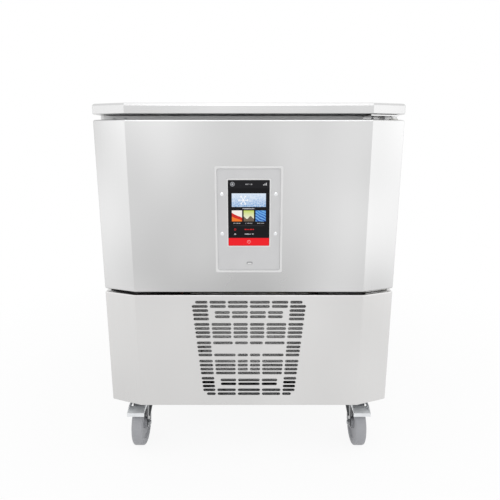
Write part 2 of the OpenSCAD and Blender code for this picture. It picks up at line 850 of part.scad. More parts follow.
// One side's tray rack: two uprights on stand-off pegs, with a bent rod for each level
module rack() {
    bend = 14;
    hook = 2;                                  // length of a runner's end behind its upright
    tip = runner_gap / 2 + runner_r;
    reach = upright_x + hook - tip - bend;
    wall = chamber_w / 2;
    runners = [for (i = [0:levels - 1]) floor_z + first_level + i * level_pitch];
    placed() {
        for (y = rack_y) {
            difference() {
                box([upright_x - upright_t, y - upright_w / 2, floor_z + 3],
                    [upright_x, y + upright_w / 2, ceiling_z - 12]);
                for (z = runners)
                    along_x(upright_x - upright_t - 1, y, z, runner_r + gap / 2, upright_t + 2);
            }
            // stand-offs halfway between two runners
            for (i = [0, levels - 2])
                along_x(upright_x, y, runners[i] + level_pitch / 2, 6, wall - upright_x);
        }
        for (z = runners) translate([0, 0, z]) {
            y0 = rack_y[0];
            y1 = rack_y[1];
            for (y = [y0, y1]) along_x(tip + bend, y, 0, runner_r, reach);
            along_y(tip, y0 + bend, 0, runner_r, y1 - y0 - 2 * bend);
            translate([tip + bend, y0 + bend, 0]) rotate([0, 0, 180])
                rotate_extrude(angle = 90) translate([bend, 0]) circle(r = runner_r);
            translate([tip + bend, y1 - bend, 0]) rotate([0, 0, 90])
                rotate_extrude(angle = 90) translate([bend, 0]) circle(r = runner_r);
        }
    }
}
module rack_left() { color(bright_steel) mirror([1, 0, 0]) rack(); }
module rack_right() { color(bright_steel) rack(); }

// Fins of a coil, drawn in X and Y: thin teeth on both faces of the tube bundle
module fins(w, d, pitch, fin) {
    n = floor((w - fin) / pitch) - 1;
    x0 = -(n * pitch + fin) / 2;
    core = d / 4;
    front = [for (i = [0:n], p = [[0, core], [0, 0], [fin, 0], [fin, core]])
        [x0 + i * pitch + p[0], p[1]]];
    polygon(concat([[-w / 2, core]], front, [[w / 2, core]],
        [[w / 2, d - core]], [for (p = front) [-p[0], d - p[1]]], [[-w / 2, d - core]]));
}

// Height of a coil's ports above and below its middle
function coil_port(h) = h / 2 - h / coil_tubes / 2;

// A finned coil with both its ports on one side: the fin pack, end plates that reach
// down by foot and back by rear, and the bends that join its tubes in turn
module coil(w, d, h, foot, rear, pitch, side) {
    sheet = 1.5;
    step = h / coil_tubes;
    translate([0, 0, -h / 2]) linear_extrude(h) fins(w - 2 * sheet, d, pitch, 1);
    for (s = [-1, 1]) {
        x = s > 0 ? w / 2 - sheet : -w / 2;
        box([x, 0, -h / 2 - foot], [x + sheet, d + rear, h / 2]);
        for (i = [s == side ? 1 : 0:2:coil_tubes - 2])
            translate([s * w / 2, d / 2, -h / 2 + (i + 1) * step])
                rotate([0, s * 90, 0]) return_bend(step / 2, line_r);
    }
}

// A half-round tube bend that stands on the plane Z = 0
module return_bend(r, tube_r) {
    rotate([90, 0, 0]) rotate_extrude(angle = 180) translate([r, 0]) circle(r = tube_r);
}

module evaporator_coil() {
    color(zinc) placed() translate([0, evap_coil_y, mid_z])
        coil(evap_coil_w, evap_coil_d, evap_coil_h, 0,
             chamber_back - evap_coil_y - evap_coil_d, 9, 1);
}

module condenser_coil() {
    color(zinc) placed() translate([0, cond_y, cond_z])
        coil(cond_w, cond_d, cond_h, cond_z - cond_h / 2 - deck_z, 0, 6, -1);
}

// Screen in front of the evaporator; the fan draws the chamber's air through its ring
module air_deflector() {
    w = chamber_w / 2;
    slot = 30;
    ring_d = 24;
    r = evap_fan_r + fan_tip_gap;
    color(bright_steel) placed() difference() {
        union() {
            box([-w, deflector_y, floor_z + slot], [w, deflector_y + deflector_t, ceiling_z - slot]);
            for (x = [-w, w - deflector_t])
                box([x, deflector_y, floor_z + slot],
                    [x + deflector_t, deflector_y + ring_d, ceiling_z - slot]);
            along_y(0, deflector_y, mid_z, r + deflector_t, ring_d);
        }
        along_y(0, deflector_y - 1, mid_z, r, ring_d + 2);
    }
}

// Wire guard over the fan's ring: rings on radial bars, around a small disc
module fan_guard() {
    wire = 1.6;
    bars = 6;
    r1 = evap_fan_r + fan_tip_gap + 8;
    step = 16;
    rings = floor((r1 - 30) / step);
    color(bright_steel) placed() translate([0, deflector_y - wire, mid_z]) rotate([90, 0, 0]) {
        for (i = [0:rings]) rotate_extrude() translate([r1 - i * step, 0]) circle(r = wire);
        for (i = [0:bars - 1]) rotate([0, 0, i * 360 / bars]) translate([0, 0, 1.6 * wire])
            rotate([0, 90, 0]) translate([0, 0, 20]) cylinder(h = r1 - 20, r = wire);
        translate([0, 0, wire * 0.4]) cylinder(h = 2 * wire, r = 24);
    }
}

// A fan with curved, pitched blades: each is a slice of a tube, trimmed to the swept ring
module axial_fan(r, shaft_l) {
    blade_t = 2;
    chord = 62;
    pitch = 24;
    camber_r = 110;
    mid = fan_depth / 2;
    rotate([-90, 0, 0]) {
        cylinder(h = fan_depth, r = hub_r);
        translate([0, 0, fan_depth - e]) cylinder(h = shaft_l, r = shaft_r);
        for (k = [0:fan_blades - 1]) rotate([0, 0, k * 360 / fan_blades]) intersection() {
            translate([0, 0, -e]) difference() {
                cylinder(h = fan_depth + 2 * e, r = r);
                translate([0, 0, -1]) cylinder(h = fan_depth + 3, r = hub_r - 3);
            }
            translate([0, 0, mid]) rotate([pitch, 0, 0]) intersection() {
                translate([10, 0, -camber_r]) rotate([0, 90, 0]) difference() {
                    cylinder(h = r, r = camber_r + blade_t / 2);
                    translate([0, 0, -1]) cylinder(h = r + 2, r = camber_r - blade_t / 2);
                }
                translate([0, -chord / 2, -40]) cube([r + 10, chord, 80]);
            }
        }
    }
}

// A fan motor on three arms, whose feet stand on the ring plate at distance reach
module fan_motor(reach, arm_r) {
    arm_t = 3;
    arm_w = 16;
    rotate([-90, 0, 0]) difference() {
        union() {
            cylinder(h = motor_l, r = motor_r);
            translate([0, 0, -4]) cylinder(h = 4 + e, r = motor_r * 0.4);
            translate([0, 0, motor_l - e]) cylinder(h = 3, r = motor_r * 0.7);
            for (a = [90, 210, 330]) rotate([0, 0, a]) {
                translate([0, -arm_w / 2, 0]) cube([arm_r + arm_w / 2, arm_w, arm_t]);
                translate([arm_r, 0, -reach]) cylinder(h = reach + e, r = 5);
            }
        }
        translate([0, 0, -5]) cylinder(h = motor_l, r = shaft_r + running);
    }
}

shaft_l = 8 + 30;

module evaporator_fan() {
    color([0.3, 0.3, 0.32]) placed() translate([0, evap_fan_y, mid_z])
        axial_fan(evap_fan_r, shaft_l);
}

module evaporator_fan_motor() {
    color([0.35, 0.36, 0.38]) placed() translate([0, evap_motor_y, mid_z])
        fan_motor(evap_motor_y - deflector_y - deflector_t, evap_fan_r + fan_tip_gap + 10);
}

module condenser_fan() {
    color([0.3, 0.3, 0.32]) placed() translate([0, cond_fan_y, cond_z])
        axial_fan(cond_fan_r, shaft_l);
}

module condenser_fan_motor() {
    color([0.35, 0.36, 0.38]) placed() translate([0, cond_motor_y, cond_z])
        fan_motor(cond_motor_y - shroud_y - shroud_d, cond_fan_r + fan_tip_gap + 8);
}

// Box that ducts the air from the condenser's fins to its fan
module condenser_shroud() {
    w = cond_w;
    h = cond_h;
    t = 1.5;
    ring_d = 24;
    r = cond_fan_r + fan_tip_gap;
    color(zinc) placed() difference() {
        union() {
            box([-w / 2, shroud_y, cond_z - h / 2], [w / 2, shroud_y + shroud_d, cond_z + h / 2]);
            along_y(0, shroud_y + shroud_d - e, cond_z, r + t, ring_d);
        }
        box([-w / 2 + t, shroud_y - 1, cond_z - h / 2 + t],
            [w / 2 - t, shroud_y + shroud_d - t, cond_z + h / 2 - t]);
        along_y(0, shroud_y, cond_z, r, shroud_d + ring_d + 1);
    }
}

// Bush in the side wall for the core probe's lead
module probe_gland() {
    flange = 9;
    color(black) placed() difference() {
        union() {
            along_x(chamber_w / 2 - 3, probe_y, probe_z, flange, 3);
            along_x(chamber_w / 2 - e, probe_y, probe_z, probe_r + 4, 30);
        }
        along_x(chamber_w / 2 - 4, probe_y, probe_z, probe_r, 30);
    }
}

drain_top = floor_z + 1.5;
drain_seat = 7;

module drain_pipe() {
    r = drain_r + drain_wall;
    barb = 1.5;
    z0 = panel_z - 2 - spigot_l;
    color([0.85, 0.85, 0.83]) placed() translate([0, drain_y, 0]) difference() {
        union() {
            translate([0, 0, z0 + spigot_l]) cylinder(h = floor_z - z0 - spigot_l + e, r = r);
            translate([0, 0, z0]) cylinder(h = spigot_l + e, r = spigot_r);
            translate([0, 0, floor_z]) cylinder(h = drain_top - floor_z, r = r + 7);
        }
        translate([0, 0, z0 - 1]) cylinder(h = drain_top - z0 + 2, r = drain_r - barb);
        translate([0, 0, drain_top - drain_seat]) cylinder(h = drain_seat + 1, r = drain_r);
    }
}

// Rubber plug with a loop to lift it by
module drain_plug() {
    loop_r = 7;
    color(black) placed() translate([0, drain_y, drain_top - drain_seat + gap]) {
        cylinder(h = drain_seat - gap + 3, r = drain_r - gap);
        translate([0, 0, drain_seat - gap + 3 + loop_r - 2]) rotate([90, 0, 0])
            rotate_extrude() translate([loop_r, 0]) circle(r = 1.6);
    }
}

// ---------------------------------------------------------------- technical compartment

// Hermetic compressor: two pressed shells with a welded flange, on a footed plate
module compressor() {
    foot_h = 12;
    foot_x = 78;
    r = compressor_r;
    h = compressor_h - foot_h;
    color(black) placed() translate([compressor_x, compressor_y, deck_z]) {
        translate([0, 0, foot_h]) rotate_extrude() polygon(rounded(
            [[0, 0], [r * 0.55, 0], [r * 0.94, 34], [r * 0.94, h * 0.45], [r, h * 0.45],
             [r, h * 0.5], [r * 0.94, h * 0.5], [r * 0.94, h * 0.8], [r * 0.5, h], [0, h]],
            [0, 10, 14, 0, 0, 0, 0, 30, 20, 0]));
        for (a = [45:90:315]) rotate([0, 0, a]) {
            translate([40, -13, foot_h]) cube([foot_x - 12, 26, 4]);
            translate([foot_x + 14, 0, 0]) cylinder(h = foot_h + e, r = 11);
        }
        translate([r * 0.8, -26, foot_h + h * 0.52]) cube([r * 0.45, 52, 46]);
    }
}

module receiver() {
    r = receiver_r;
    h = receiver_h;
    color([0.15, 0.16, 0.17]) placed() translate([receiver_x, receiver_y, deck_z]) {
        translate([0, 0, receiver_foot]) rotate_extrude() polygon(rounded(
            [[0, 0], [r, 0], [r, h], [0, h]], [0, 22, 22, 0], 6));
        difference() {
            cylinder(h = receiver_foot + 8, r = r * 0.8);
            translate([0, 0, -1]) cylinder(h = receiver_foot + 10, r = r * 0.8 - 3);
        }
    }
}

module filter_drier() {
    r = drier_r;
    l = drier_l;
    color(copper) placed() translate([drier_x, drier_y, drier_z]) rotate_extrude() polygon(
        [[0, 0], [line_r + 1, 0], [line_r + 1, 8], [r, 20], [r, l - 20],
         [line_r + 1, l - 8], [line_r + 1, l], [0, l]]);
}

// Refrigerant lines between the compressor, condenser, receiver, drier and evaporator
module copper_pipes() {
    stub = 18;                                 // stubs on the compressor, from its axis
    top = foam_z - 22;
    shell = deck_z + compressor_h;
    side = -cond_w / 2;
    bypass = side - 34;
    coil_y = cond_y + cond_d / 2;
    hot_z = cond_z + coil_port(cond_h);
    liquid_z = cond_z - coil_port(cond_h);
    inlet_z = deck_z + 75;
    cross_y = compressor_y - compressor_r - 68;
    evap_x = evap_coil_w / 2;
    evap_ports = [for (s = [-1, 1]) mid_z + s * coil_port(evap_coil_h)];
    drier_top = drier_z + drier_l;
    color(copper) placed() {
        // hot gas to the condenser
        pipe([[compressor_x + stub, compressor_y - stub, shell],
              [compressor_x + stub, compressor_y - stub, hot_z],
              [bypass, compressor_y - stub, hot_z], [bypass, coil_y, hot_z],
              [side, coil_y, hot_z]], line_r);
        // liquid to the receiver
        pipe([[side, coil_y, liquid_z], [bypass, coil_y, liquid_z],
              [bypass, cross_y, liquid_z], [receiver_x, cross_y, liquid_z],
              [receiver_x, cross_y, inlet_z], [receiver_x, receiver_y - receiver_r, inlet_z]],
             line_r);
        // liquid to the drier
        pipe([[receiver_x, receiver_y, deck_z + receiver_foot + receiver_h],
              [receiver_x, receiver_y, top - 13], [receiver_x, drier_y, top - 13],
              [drier_x - 30, drier_y, top - 13], [drier_x - 30, drier_y, drier_z - 30],
              [drier_x, drier_y, drier_z - 30], [drier_x, drier_y, drier_z]], line_r);
        // liquid to the evaporator
        pipe([[drier_x, drier_y, drier_top], [drier_x, drier_y, top],
              [drier_x, riser_y[1], top], [riser_x, riser_y[1], top],
              [riser_x, riser_y[1], evap_ports[1]],
              [riser_x, evap_coil_y + evap_coil_d / 2, evap_ports[1]],
              [evap_x, evap_coil_y + evap_coil_d / 2, evap_ports[1]]], line_r);
        // suction back to the compressor
        pipe([[compressor_x - stub, compressor_y + stub, shell],
              [compressor_x - stub, compressor_y + stub, top],
              [compressor_x - stub, riser_y[0], top], [riser_x, riser_y[0], top],
              [riser_x, riser_y[0], evap_ports[0]],
              [riser_x, evap_coil_y + evap_coil_d / 2, evap_ports[0]],
              [evap_x, evap_coil_y + evap_coil_d / 2, evap_ports[0]]], line_r);
    }
}

// Electrical box hung under the insulated box, with its lid towards the front
module control_box() {
    x0 = hw - 150;
    x1 = hw - 24;
    y0 = body_y + 40;
    y1 = y0 + 230;
    z0 = foam_z - 150;
    t = 1.5;
    color([0.75, 0.76, 0.76]) placed() {
        difference() {
            box([x0, y0, z0], [x1, y1, foam_z]);
            box([x0 + t, y0 - 1, z0 + t], [x1 - t, y1 - t, foam_z - t]);
        }
        box([x0 + 12, y0 + 14, z0 + t], [x1 - 12, y1 - t - 10, z0 + 40]);
        box([x0 - 3, y0 - 2, z0 - 3], [x1 + 3, y0, foam_z]);
    }
}

// Gland for the mains lead in the rear cover
module cable_gland() {
    color(black) placed() difference() {
        union() {
            along_y(gland_x, rear_y - 8, gland_z, gland_r - running, 9 + skin_t);
            translate([gland_x, rear_y + skin_t, gland_z]) rotate([-90, 0, 0])
                cylinder(h = 5, r = gland_r + 4, $fn = 6);
            along_y(gland_x, rear_y + skin_t + 5 - e, gland_z, gland_r + 1, 9);
            translate([gland_x, rear_y - 5, gland_z]) rotate([-90, 0, 0])
                cylinder(h = 5, r = gland_r + 4, $fn = 6);
        }
        along_y(gland_x, rear_y - 9, gland_z, 6, 30);
    }
}

module panel_screws() {
    color(zinc) placed() for (x = [-1, 1] * (hw - screw_side), z = screw_heights) {
        along_y(x, back_y, z, screw_r, 2 * skin_t + e);
        along_y(x, case_d, z, 2 * screw_r, screw_head);
    }
}

// ---------------------------------------------------------------- casters

// Fixed plates, each with its bearing race and riveted kingpin
module caster_plates() {
    head_t = 3.5;
    head_z = crown_z - gap - head_t;
    color(zinc) placed() for (c = casters) translate([c[0], c[1], 0]) {
        difference() {
            translate([0, 0, caster_h - plate_t]) linear_extrude(plate_t)
                rounded_rect(plate_w, plate_d, 6);
            for (x = [-bolt_x, bolt_x], y = [-bolt_y, bolt_y])
                translate([x, y, caster_h - plate_t - 1]) cylinder(h = plate_t + 2, r = bolt_r + running);
        }
        difference() {
            translate([0, 0, crown_z + crown_t + 2 + gap])
                cylinder(h = caster_h - plate_t - crown_z - crown_t - 2 - gap + e, r = race_r);
            translate([0, 0, crown_z]) cylinder(h = caster_h - plate_t - crown_z - 1, r = race_r - 6);
        }
        translate([0, 0, head_z]) cylinder(h = caster_h - plate_t - head_z + e, r = kingpin_r);
        translate([0, 0, head_z]) cylinder(h = head_t, r = kingpin_r + 4);
    }
}

module caster_bolts() {
    head_r = 7.5;
    head_t = 4.5;
    color(zinc) placed() for (c = casters, x = [-bolt_x, bolt_x], y = [-bolt_y, bolt_y])
        translate([c[0] + x, c[1] + y, 0]) {
            translate([0, 0, caster_h - plate_t - head_t]) cylinder(h = head_t, r = head_r, $fn = 6);
            translate([0, 0, caster_h - plate_t]) cylinder(h = plate_t + tray_t + 8, r = bolt_r);
            translate([0, 0, deck_z]) cylinder(h = 6, r = head_r, $fn = 6);
        }
}

module at_caster(i) { placed() translate([casters[i][0], casters[i][1], 0]) children(); }

// A fork leg from the side: wide under the crown, running down to a round axle boss
module leg_outline() {
    boss = 13;
    front = -trail - 2;
    back = 30;
    polygon(concat(
        [[back, crown_z + crown_t], [front, crown_z + crown_t], [front - 1, crown_z - 24]],
        [for (i = [0:12]) [-trail + boss * cos(182 + 158 * i / 12),
                           wheel_r + boss * sin(182 + 158 * i / 12)]],
        [[back, crown_z - 12]]));
}

module fork(i) {
    outer = fork_half + fork_t;
    // the flange's course: how far back, how high and how wide
    flange = [[30, crown_z - 4, 13], [30, crown_z - 12, 12], [-trail + 16, wheel_r + 12, 5]];
    color(zinc) at_caster(i) difference() {
        union() {
            for (s = [-1, 1]) {
                sideways(s > 0 ? fork_half : -outer, fork_t) leg_outline();
                // flange turned out along the leg's rear edge, narrowing towards the axle
                for (ends = [[flange[0], flange[1]], [flange[1], flange[2]]])
                    hull() for (p = ends)
                        translate([s > 0 ? outer - fork_t : -outer - p[2] + fork_t,
                                   p[0] - fork_t, p[1]]) cube([p[2], fork_t, 5]);
            }
            intersection() {
                translate([0, 0, crown_z]) cylinder(h = crown_t, r = crown_r + 12);
                box([-outer, -trail - 2, crown_z], [outer, 30, crown_z + crown_t]);
            }
            translate([0, 0, crown_z]) cylinder(h = crown_t, r = crown_r);
            translate([0, 0, crown_z + crown_t - e]) cylinder(h = 2 + e, r = race_r);
        }
        translate([0, 0, crown_z - 1]) cylinder(h = crown_t + 4, r = kingpin_r + running);
        along_x(-outer - 1, -trail, wheel_r, axle_r + running, 2 * outer + 2);
        if (i < 2) along_x(-outer - 1, pedal_y, pedal_z, pedal_r + running, 2 * outer + 2);
    }
}

module axle(i) {
    outer = fork_half + fork_t;
    nut_t = 5;
    color(zinc) at_caster(i) translate([0, -trail, wheel_r]) {
        along_x(-outer - nut_t - 2, 0, 0, axle_r, 2 * (outer + nut_t) + 4);
        for (x = [-outer - nut_t, outer]) translate([x, 0, 0]) rotate([0, 90, 0])
            cylinder(h = nut_t, r = 10, $fn = 6);
    }
}

// A wheel: a hub with dished sides, and a tread with rounded shoulders moulded round it
module wheel(i) {
    w = wheel_w / 2;
    rim_r = wheel_r - 14;
    boss_r = 16;
    boss_w = fork_half - gap;
    shoulder = 7;
    color(grey_rubber) at_caster(i) translate([0, -trail, wheel_r]) rotate([0, 90, 0]) {
        rotate_extrude() polygon([
            [axle_r + running, -boss_w], [boss_r, -boss_w], [boss_r, -w + 6], [rim_r - 7, -w + 5],
            [rim_r - 4, -w + 1.5], [rim_r, -w + 1.5], [rim_r, w - 1.5], [rim_r - 4, w - 1.5],
            [rim_r - 7, w - 5], [boss_r, w - 6], [boss_r, boss_w], [axle_r + running, boss_w]]);
        rotate_extrude() polygon(rounded(
            [[rim_r, -w + 1], [wheel_r - shoulder, -w], [wheel_r, -w], [wheel_r, w],
             [wheel_r - shoulder, w], [rim_r, w - 1]],
            [0, 0, shoulder - 1, shoulder - 1, 0, 0], 6));
    }
}

// Brake pedal: a step plate with a turned-down lip between two cheeks on the pivot pin
module brake(i) {
    tip = -caster_end - 1.5;
    plate_z = pedal_z - 7;
    plate_end = -trail - 26;
    lip_z = plate_z - 8.5;
    ear_z = crown_z - 1;
    color(bright_steel) at_caster(i) {
        box([-pedal_half, tip, plate_z], [pedal_half, plate_end, plate_z + pedal_t]);
        box([-pedal_half, tip, lip_z], [pedal_half, tip + pedal_t, plate_z + e]);
        for (x = [-pedal_half, pedal_half - pedal_t]) sideways(x, pedal_t) polygon([
            [tip, plate_z], [tip + 26, ear_z], [pedal_y + 7, ear_z - 2], [pedal_y + 7, pedal_z - 6],
            [pedal_y - 6, pedal_z - 7], [plate_end, plate_z]]);
        along_x(-pedal_half - 1.5, pedal_y, pedal_z, pedal_r, 2 * pedal_half + 3);
    }
}

module caster_fork_fl() { fork(0); }
module caster_fork_fr() { fork(1); }
module caster_fork_rl() { fork(2); }
module caster_fork_rr() { fork(3); }
module caster_axle_fl() { axle(0); }
module caster_axle_fr() { axle(1); }
module caster_axle_rl() { axle(2); }
module caster_axle_rr() { axle(3); }
module caster_wheel_fl() { wheel(0); }
module caster_wheel_fr() { wheel(1); }
module caster_wheel_rl() { wheel(2); }
module caster_wheel_rr() { wheel(3); }
module brake_fl() { brake(0); }
module brake_fr() { brake(1); }

worktop();
worktop_core();
side_panel_left();
side_panel_right();
back_panel();
rear_cover();
insulation();
chamber_liner();
front_frame();
base_frame();
service_panel();
hinge_bracket_top();
hinge_bracket_bottom();
hinge_screws();
rack_left();
rack_right();
evaporator_coil();
air_deflector();
fan_guard();
evaporator_fan_motor();
probe_gland();
drain_pipe();
compressor();
condenser_coil();
condenser_shroud();
condenser_fan_motor();
receiver();
filter_drier();
copper_pipes();
control_box();
cable_gland();
caster_plates();
caster_bolts();
panel_screws();
door_skin();
door_liner();
door_foam();
door_gasket();
control_bezel();
touch_screen();
display_module();
bezel_screws();
hinge_bushes();
evaporator_fan();
condenser_fan();
drain_plug();
caster_fork_fl();
caster_fork_fr();
caster_fork_rl();
caster_fork_rr();
caster_axle_fl();
caster_axle_fr();
caster_axle_rl();
caster_axle_rr();
caster_wheel_fl();
caster_wheel_fr();
caster_wheel_rl();
caster_wheel_rr();
brake_fl();
brake_fr();
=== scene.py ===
"""The looks of an undercounter blast chiller on casters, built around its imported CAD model."""

import json
import math

import bmesh
import bpy
from mathutils import Matrix, Vector


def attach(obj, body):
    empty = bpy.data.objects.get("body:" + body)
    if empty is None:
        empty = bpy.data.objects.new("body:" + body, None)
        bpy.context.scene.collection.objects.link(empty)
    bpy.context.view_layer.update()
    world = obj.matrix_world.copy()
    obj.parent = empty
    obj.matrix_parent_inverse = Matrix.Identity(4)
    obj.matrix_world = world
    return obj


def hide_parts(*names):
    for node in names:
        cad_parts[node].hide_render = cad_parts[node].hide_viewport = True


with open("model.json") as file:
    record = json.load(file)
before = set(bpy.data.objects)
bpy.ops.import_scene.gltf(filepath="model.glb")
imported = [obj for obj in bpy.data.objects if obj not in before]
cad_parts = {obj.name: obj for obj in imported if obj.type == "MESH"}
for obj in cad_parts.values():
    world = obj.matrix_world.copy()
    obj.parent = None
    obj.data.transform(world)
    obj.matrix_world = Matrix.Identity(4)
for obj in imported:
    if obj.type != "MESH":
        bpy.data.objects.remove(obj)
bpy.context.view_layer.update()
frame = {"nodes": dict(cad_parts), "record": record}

NODES = frame["nodes"]
BEHAVIOUR = frame["record"]["behaviour"]
BODY_OF = {node: body for body, nodes in BEHAVIOUR["bodies"].items() for node in nodes}
SLOT_OF = {part["node"]: part["material_slot"] for part in frame["record"]["subparts"]}
MM = 0.001


# ---------------------------------------------------------------- shader writing

class Wire:
    """A socket in a material's node tree, with Python's operators on it."""

    def __init__(self, finish, socket):
        self.finish, self.socket = finish, socket

    def math(self, operation, *values):
        return self.finish.node("ShaderNodeMath", {"operation": operation},
                                dict(enumerate((self, *values))))

    def flipped(self, operation, value):
        return self.finish.node("ShaderNodeMath", {"operation": operation}, {0: value, 1: self})

    def __add__(self, other):
        return self.math("ADD", other)

    def __sub__(self, other):
        return self.math("SUBTRACT", other)

    def __rsub__(self, other):
        return self.flipped("SUBTRACT", other)

    def __mul__(self, other):
        return self.math("MULTIPLY", other)

    def __truediv__(self, other):
        return self.math("DIVIDE", other)

    def __rtruediv__(self, other):
        return self.flipped("DIVIDE", other)

    def __mod__(self, other):
        return self.math("FLOORED_MODULO", other)

    def __gt__(self, other):
        return self.math("GREATER_THAN", other)

    def __lt__(self, other):
        return self.math("LESS_THAN", other)

    def __abs__(self):
        return self.math("ABSOLUTE")

    __radd__, __rmul__ = __add__, __mul__


class Finish:
    """A material in the making."""

    def __init__(self, name):
        self.material = bpy.data.materials.new(name)
        self.material.use_nodes = True
        self.tree = self.material.node_tree
        self.tree.nodes.clear()

    def node(self, kind, settings=None, sockets=None, out=0):
        made = self.tree.nodes.new(kind)
        for key, value in (settings or {}).items():
            if key == "stops":
                ramp = made.color_ramp.elements
                for place, colour in value[len(ramp):]:
                    ramp.new(place)
                for stop, (place, colour) in zip(ramp, value):
                    stop.position, stop.color = place, colour
            else:
                setattr(made, key, value)
        for key, value in (sockets or {}).items():
            if isinstance(value, Wire):
                self.tree.links.new(value.socket, made.inputs[key])
            else:
                made.inputs[key].default_value = value
        return Wire(self, made.outputs[out]) if len(made.outputs) else None

    def place(self, scale=(1, 1, 1), at=(0, 0, 0)):
        """Object coordinates, measured from at and scaled."""
        spot = self.node("ShaderNodeTexCoord", out="Object")
        moved = self.node("ShaderNodeVectorMath", {"operation": "SUBTRACT"}, {0: spot, 1: at})
        return self.node("ShaderNodeVectorMath", {"operation": "MULTIPLY"}, {0: moved, 1: scale})

    def axes(self, vector):
        return [self.node("ShaderNodeSeparateXYZ", {}, {0: vector}, out=i) for i in range(3)]

    def noise(self, vector, detail=2.0, roughness=0.5):
        return self.node("ShaderNodeTexNoise", {},
                         {"Vector": vector, "Scale": 1.0, "Detail": detail, "Roughness": roughness})

    def mix(self, factor, first, second):
        return self.node("ShaderNodeMix", {"data_type": "RGBA"}, {0: factor, 6: first, 7: second},
                         out=2)

    def bump(self, height, strength, distance):
        return self.node("ShaderNodeBump", {},
                         {"Height": height, "Strength": strength, "Distance": distance})

    def surface(self, sockets):
        shader = self.node("ShaderNodeBsdfPrincipled", {}, sockets)
        self.node("ShaderNodeOutputMaterial", {}, {"Surface": shader})
        return self.material


def grey(value, warmth=0.0):
    """A linear grey, a little warmer where warmth is above 0 and cooler below."""
    return (value * (1 + warmth), value, value * (1 - warmth), 1.0)


def rgb(red, green, blue):
    """A linear colour from the eight-bit one that a screen shows."""
    def linear(part):
        part /= 255
        return part / 12.92 if part <= 0.04045 else ((part + 0.055) / 1.055) ** 2.4
    return (linear(red), linear(green), linear(blue), 1.0)


# ---------------------------------------------------------------- materials

GRAIN = 900.0  # brush lines per metre, before the noise's own detail
MOULD_GRAIN = 900.0  # grains of a mould's texture per metre
FIN_RATE = 450  # fins per metre
TUBE_PITCH = 0.0254  # metres between a coil's tubes, and between the painted brighter rows on its fins
TUBE_LEVEL = 0.0097


def brushed_steel(name, tone, along=(1, 0, 1), rough=0.30, painted_reflection_amount=0.5, warmth=0.0, at=(0, 0, 0)):
    """Satin stainless sheet: brush lines along the given axes, and soft light and dark patches and bands
    painted into its colour as painted reflections of the surroundings; at moves the patches.
    """
    make = Finish(name)
    stretch = tuple(3.0 if on else GRAIN for on in along)
    grain = make.noise(make.place(stretch), detail=4.0, roughness=0.6)
    polish_and_painted_reflection = make.noise(make.place((3.4, 3.4, 2.2), at=at), detail=1.0)
    painted_reflection_bands = make.noise(make.place((5.0, 5.0, 1.2), at=(3, 7, 2)), detail=2.0)
    # the patches and bands are painted reflection in the colour; the same patches also vary the
    # roughness
    grain_and_painted_reflection = (polish_and_painted_reflection - 0.5) * painted_reflection_amount + (painted_reflection_bands - 0.5) * 0.16 + (grain - 0.5) * 0.10 + 0.5
    return make.surface({
        "Base Color": make.mix(grain_and_painted_reflection, grey(tone * 0.72, warmth), grey(tone * 1.28, warmth)),
        "Metallic": 1.0,
        "Roughness": rough + (grain - 0.5) * 0.14 + (polish_and_painted_reflection - 0.5) * 0.12,
        "Normal": make.bump(grain, 0.04, 0.0002)})


def zinc_sheet(name, tone):
    """Galvanised sheet: flat crystals of slightly different greys."""
    make = Finish(name)
    spangle = make.node("ShaderNodeTexVoronoi", {}, {"Vector": make.place(), "Scale": 70.0}, out="Color")
    red, _, _ = make.axes(spangle)
    fine = make.noise(make.place((400, 400, 400)), detail=2.0)
    return make.surface({
        "Base Color": make.mix(red, grey(tone * 0.82, -0.02), grey(tone * 1.12, -0.02)),
        "Metallic": 1.0,
        "Roughness": 0.42 + red * 0.12 + fine * 0.06,
        "Normal": make.bump(fine, 0.06, 0.0002)})


def plated_steel(name, tone, rough=0.28, metallic=1.0):
    """Zinc-plated pressings: even, cool, with faint drawing marks."""
    make = Finish(name)
    marks = make.noise(make.place((60, 60, 500)), detail=3.0)
    stain = make.noise(make.place((30, 30, 30)), detail=3.0)
    return make.surface({
        "Base Color": make.mix(stain, grey(tone * 0.8, -0.02), grey(tone * 1.15, -0.02)),
        "Metallic": metallic,
        "Roughness": rough + stain * 0.12,
        "Normal": make.bump(marks, 0.05, 0.0002)})


def moulded_plastic(name, colour, rough, coat=0.0):
    """Moulded plastic or enamel with the fine texture of its mould."""
    make = Finish(name)
    texture = make.noise(make.place((MOULD_GRAIN, MOULD_GRAIN, MOULD_GRAIN)), detail=2.0)
    drift = make.noise(make.place((18, 18, 18)), detail=2.0)
    dark = tuple(part * 0.9 for part in colour[:3]) + (1.0,)
    return make.surface({
        "Base Color": make.mix(drift, dark, colour),
        "Roughness": rough + (texture - 0.5) * 0.08,
        "Coat Weight": coat,
        "Coat Roughness": 0.08,
        "Normal": make.bump(texture, 0.08, 0.0002)})


def caster_rubber(name, colour):
    """Grey thermoplastic rubber with moulding haze and light scuffs round the tread."""
    make = Finish(name)
    haze = make.noise(make.place((45, 45, 45)), detail=3.0)
    scuff = make.noise(make.place((500, 90, 90)), detail=4.0, roughness=0.7)
    dark = tuple(part * 0.82 for part in colour[:3]) + (1.0,)
    return make.surface({
        "Base Color": make.mix(haze * 0.6 + scuff * 0.4, dark, colour),
        "Roughness": 0.42 + scuff * 0.2,
        "Normal": make.bump(scuff, 0.10, 0.0003)})


def foam_board(name, colour):
    """Foamed polyurethane: closed cells that show as a fine pitted skin."""
    make = Finish(name)
    cells = make.node("ShaderNodeTexVoronoi", {}, {"Vector": make.place(), "Scale": 420.0})
    tone = make.noise(make.place((12, 12, 12)), detail=3.0)
    dark = tuple(part * 0.78 for part in colour[:3]) + (1.0,)
    return make.surface({
        "Base Color": make.mix(tone, dark, colour),
        "Roughness": 0.85,
        "Normal": make.bump(cells, 0.3, 0.0006)})


